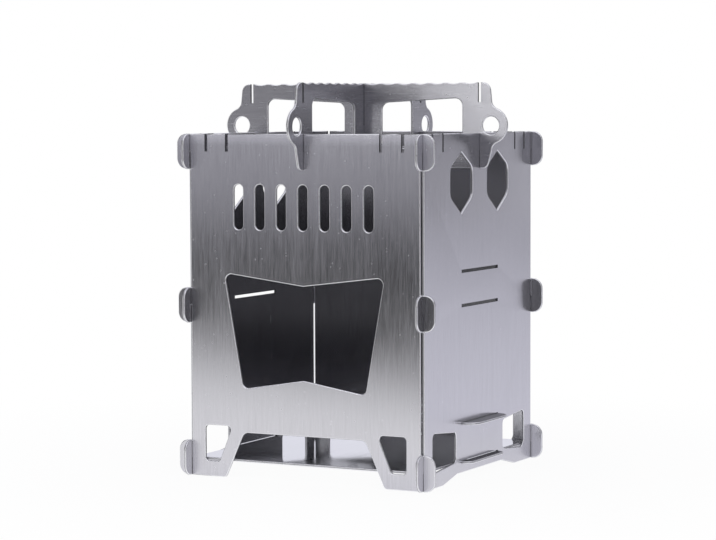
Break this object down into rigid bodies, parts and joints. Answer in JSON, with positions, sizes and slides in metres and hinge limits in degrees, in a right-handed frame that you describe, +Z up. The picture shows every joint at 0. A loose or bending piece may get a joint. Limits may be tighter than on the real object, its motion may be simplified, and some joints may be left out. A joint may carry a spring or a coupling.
{
  "type": "flat-pack twig stove",
  "caption": "Box-shaped wood stove of slotted steel sheets with corner ears, a fuel port, shelves for grate and ash, and crossed pot bars on top.",
  "frame": {"origin": "on the floor under the middle of the stove", "axes": "+Z up, the fuel port faces -Y, +X to the right seen from the front"},
  "size_m": [0.1868, 0.1868, 0.228],
  "materials": {
    "panel_steel": "satin with upright brushing",
    "shelf_steel": "smooth mill finish",
    "bar_steel": "satin"
  },
  "bodies": {
    "base": {"left_panel": "panel_steel", "right_panel": "panel_steel", "ash_tray": "shelf_steel", "fire_grate": "shelf_steel"},
    "back": {"back_panel": "panel_steel"},
    "front": {"front_panel": "panel_steel"},
    "bar_lower": {"pot_bar_lower": "bar_steel"},
    "bar_upper": {"pot_bar_upper": "bar_steel"}
  },
  "joints": [
    {"name": "back_lift", "type": "slide", "parent": "base", "child": "back", "axis": [0, 0, 1], "range_m": [0, 0.021]},
    {"name": "front_lift", "type": "slide", "parent": "base", "child": "front", "axis": [0, 0, 1], "range_m": [0, 0.021]},
    {"name": "bar_lower_lift", "type": "slide", "parent": "back", "child": "bar_lower", "axis": [0, 0, 1], "range_m": [0, 0.03]},
    {"name": "bar_upper_lift", "type": "slide", "parent": "bar_lower", "child": "bar_upper", "axis": [0, 0, 1], "range_m": [0, 0.03]}
  ],
  "couplings": [
    {"joint": "front_lift", "follows": "back_lift", "ratio": 1}
  ]
}
